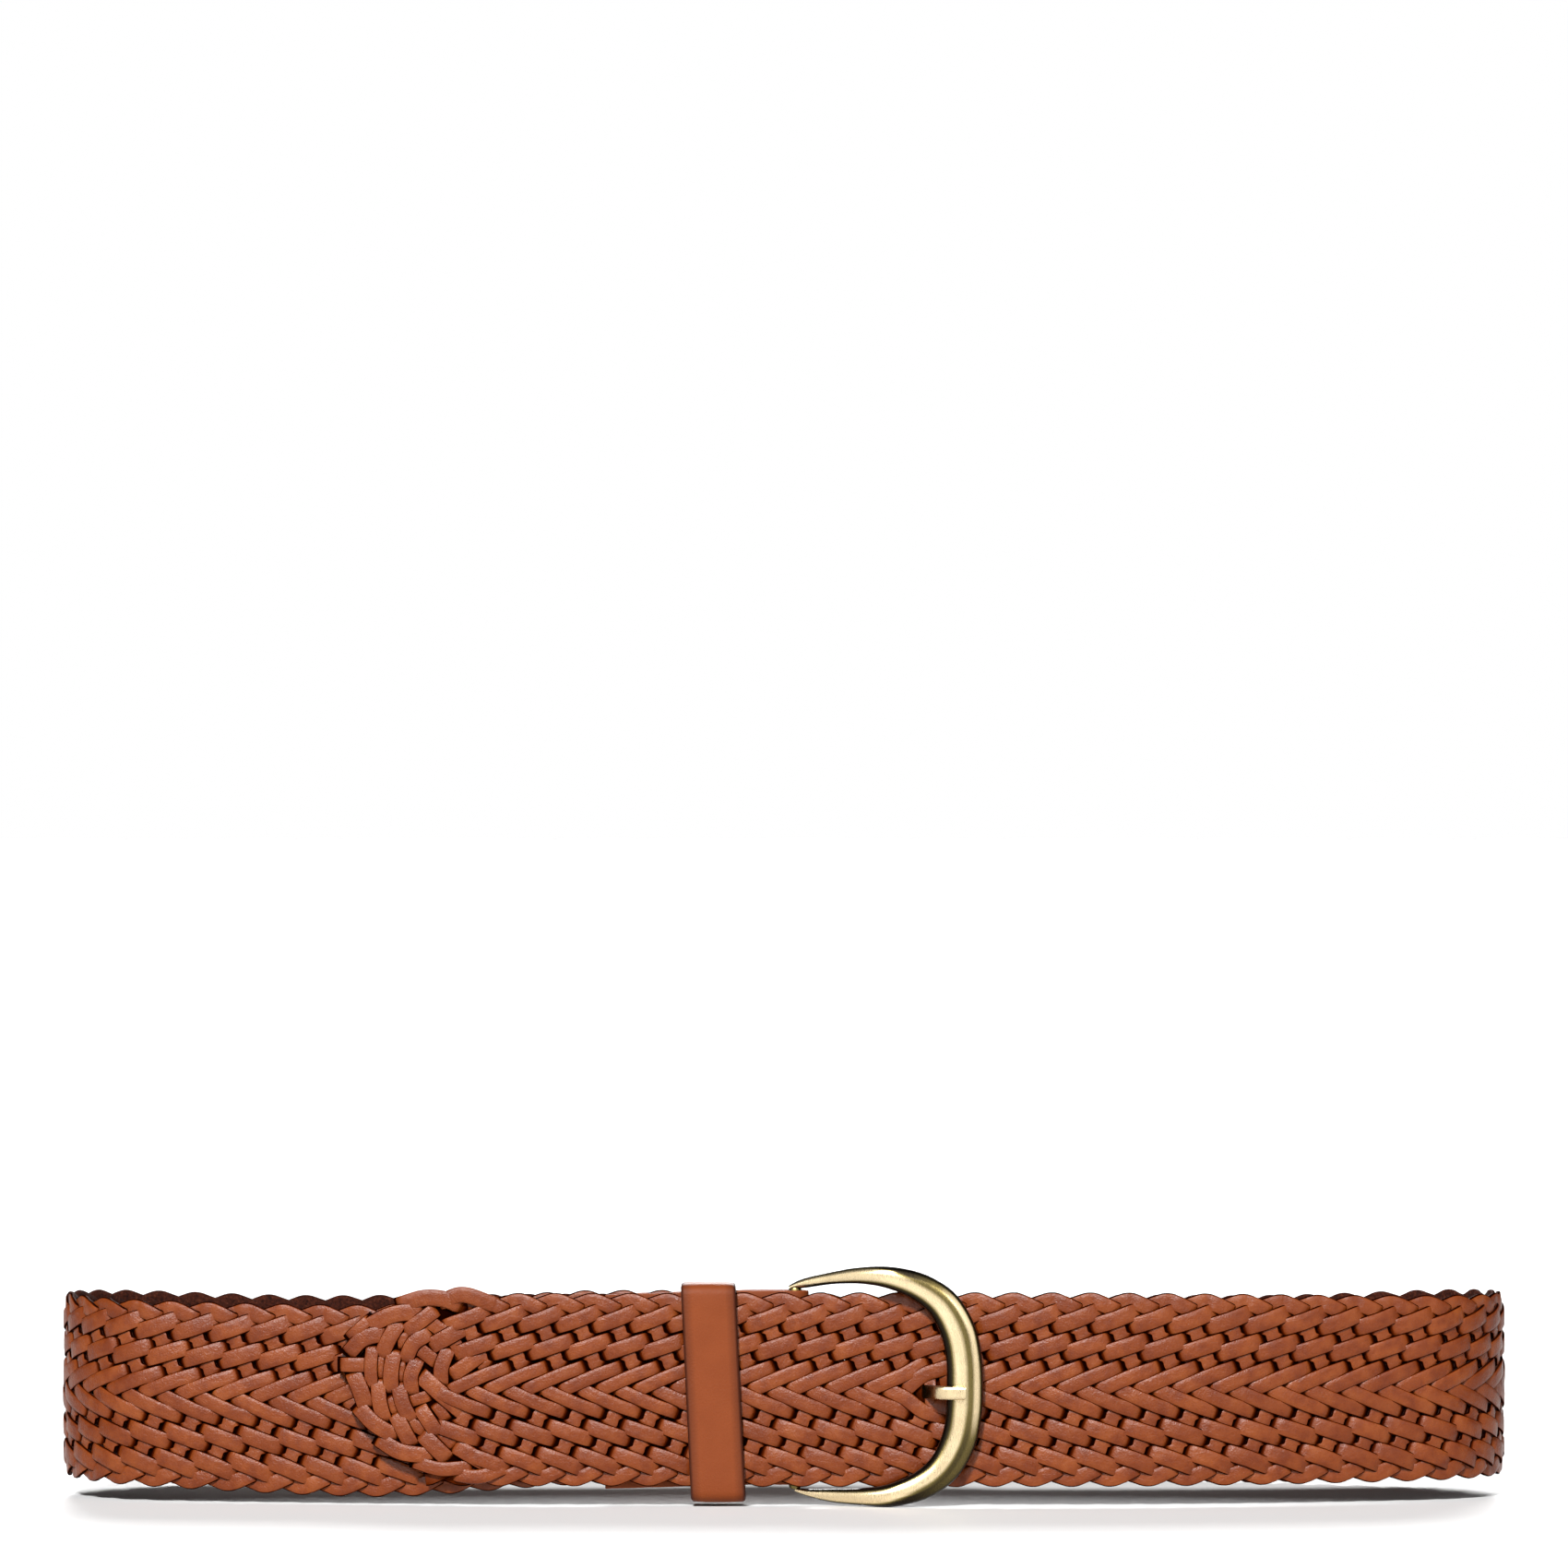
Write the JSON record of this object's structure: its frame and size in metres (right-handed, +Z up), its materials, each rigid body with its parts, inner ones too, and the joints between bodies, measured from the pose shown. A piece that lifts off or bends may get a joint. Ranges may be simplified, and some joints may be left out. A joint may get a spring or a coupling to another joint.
{
  "type": "braided leather belt",
  "caption": "Wide woven leather waist belt, fastened in a loop, with a horseshoe pin buckle, a sliding keeper loop and a rounded tip.",
  "frame": {"origin": "under the middle of the fastened loop's bounding box, on the surface that the belt stands on", "axes": "+X along the belt, from the tip towards the buckle's rim; -Y outwards through the buckle; +Z up, across the strap's width"},
  "size_m": [0.3442, 0.106, 0.0565],
  "materials": {
    "braid_leather": "smooth tan grain leather thongs, satin, darker in the gaps",
    "flesh_leather": "rough dark brown flesh side of the thongs",
    "plain_leather": "fine pebbled tan leather, satin",
    "core_leather": "undyed split leather, matte",
    "thread": "waxed brown thread",
    "aged_brass": "brushed antique brass, darkened along its edges",
    "steel_wire": "bright wire"
  },
  "bodies": {
    "strap": {"braided_strap": "braid_leather", "chape": "plain_leather", "chape_filler": "core_leather", "chape_stitches_end_front": "thread", "chape_stitches_end_back": "thread", "chape_stitches_bar_front": "thread", "chape_stitches_bar_back": "thread"},
    "tip": {"braided_tip": "braid_leather"},
    "keeper": {"keeper_band": "plain_leather", "keeper_staple": "steel_wire"},
    "buckle": {"buckle_frame": "aged_brass"},
    "prong": {"prong": "aged_brass"}
  },
  "joints": [
    {"name": "buckle_swing", "type": "hinge", "parent": "strap", "child": "buckle", "pos_m": [0.00263, -0.03922, 0.02825], "axis": [0, 0, -1], "range_deg": [0, 15]},
    {"name": "prong_pivot", "type": "hinge", "parent": "buckle", "child": "prong", "pos_m": [0.00263, -0.03922, 0.0269], "axis": [0, 0, -1], "range_deg": [0, 3]},
    {"name": "keeper_slide", "type": "slide", "parent": "strap", "child": "keeper", "axis": [1, 0, 0], "range_m": [-0.008, 0.007]},
    {"name": "tip_flex", "type": "hinge", "parent": "strap", "child": "tip", "pos_m": [-0.03397, -0.04612, 0.027], "axis": [0, 0, 1], "range_deg": [0, 30], "stiffness_Nm_per_rad": 0.05}
  ]
}
